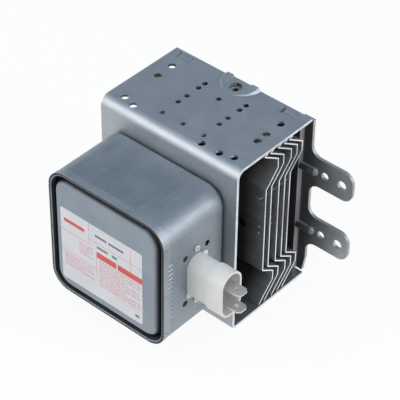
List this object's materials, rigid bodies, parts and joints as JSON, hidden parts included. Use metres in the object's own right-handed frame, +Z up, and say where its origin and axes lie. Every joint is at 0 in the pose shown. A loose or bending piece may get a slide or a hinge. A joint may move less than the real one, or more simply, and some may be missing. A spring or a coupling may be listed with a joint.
{
  "type": "magnetron",
  "caption": "Microwave magnetron: folded steel yoke round a finned anode and ring magnets, a filter box with a capacitor plug in front, and an antenna with mounting ears behind.",
  "frame": {"origin": "centre of the antenna gasket's outer face, on the tube's axis", "axes": "+Y along the tube towards the antenna, +Z up from the bottom wall, +X towards the mounting ears and the capacitor plug"},
  "size_m": [0.1042, 0.1198, 0.0943],
  "materials": {
    "yoke_steel": "zinc-plated sheet steel, bluish grey, satin",
    "plate_steel": "zinc-plated sheet steel, grey, satin",
    "box_steel": "zinc-plated drawn steel, bluish grey, satin",
    "lid_steel": "zinc-plated pressed steel, light grey, satin",
    "fin_aluminium": "mill-finish sheet",
    "magnet_ferrite": "sintered, ground, matt",
    "copper": "machined and drawn copper",
    "tube_steel": "plated pressed steel",
    "cathode_metal": "drawn refractory metal",
    "alumina": "fired, pale pink, matt",
    "gasket_mesh": "knitted wire, pressed to a ring",
    "sticker": "white with plain red and pink bands",
    "sleeve_plastic": "off-white, satin",
    "potting_resin": "cream resin",
    "blade_metal": "tin-plated, dull",
    "rivet_metal": "plain",
    "choke_ferrite": "sintered, matt",
    "enamelled_wire": "enamelled copper wire"
  },
  "bodies": {
    "root": {"yoke": "yoke_steel", "mounting_plate": "plate_steel", "cooling_fin_1": "fin_aluminium", "cooling_fin_2": "fin_aluminium", "cooling_fin_3": "fin_aluminium", "cooling_fin_4": "fin_aluminium", "cooling_fin_5": "fin_aluminium", "front_magnet": "magnet_ferrite", "rear_magnet": "magnet_ferrite", "anode_cylinder": "copper", "anode_vane_1": "copper", "anode_vane_2": "copper", "anode_vane_3": "copper", "anode_vane_4": "copper", "anode_vane_5": "copper", "anode_vane_6": "copper", "anode_vane_7": "copper", "anode_vane_8": "copper", "anode_vane_9": "copper", "anode_vane_10": "copper", "front_inner_strap": "copper", "front_outer_strap": "copper", "rear_inner_strap": "copper", "rear_outer_strap": "copper", "front_pole_piece": "tube_steel", "rear_pole_piece": "tube_steel", "front_seal_cup": "tube_steel", "rear_seal_cup": "tube_steel", "cathode_filament": "cathode_metal", "front_end_shield": "cathode_metal", "rear_end_shield": "cathode_metal", "centre_lead": "cathode_metal", "side_lead": "cathode_metal", "stem_ceramic": "alumina", "upper_stem_terminal": "tube_steel", "lower_stem_terminal": "tube_steel", "antenna_gasket": "gasket_mesh", "antenna_ceramic": "alumina", "antenna_lead": "copper", "exhaust_stem": "copper", "antenna_cap": "tube_steel", "filter_box": "box_steel", "filter_lid": "lid_steel", "label": "sticker", "box_rivets": "rivet_metal", "capacitor_sleeve": "sleeve_plastic", "capacitor_potting": "potting_resin", "capacitor_body": "potting_resin", "capacitor_flange": "tube_steel", "capacitor_rivets": "rivet_metal", "upper_blade": "blade_metal", "lower_blade": "blade_metal", "upper_choke_core": "choke_ferrite", "lower_choke_core": "choke_ferrite", "upper_choke_coil": "enamelled_wire", "lower_choke_coil": "enamelled_wire"}
  },
  "joints": []
}
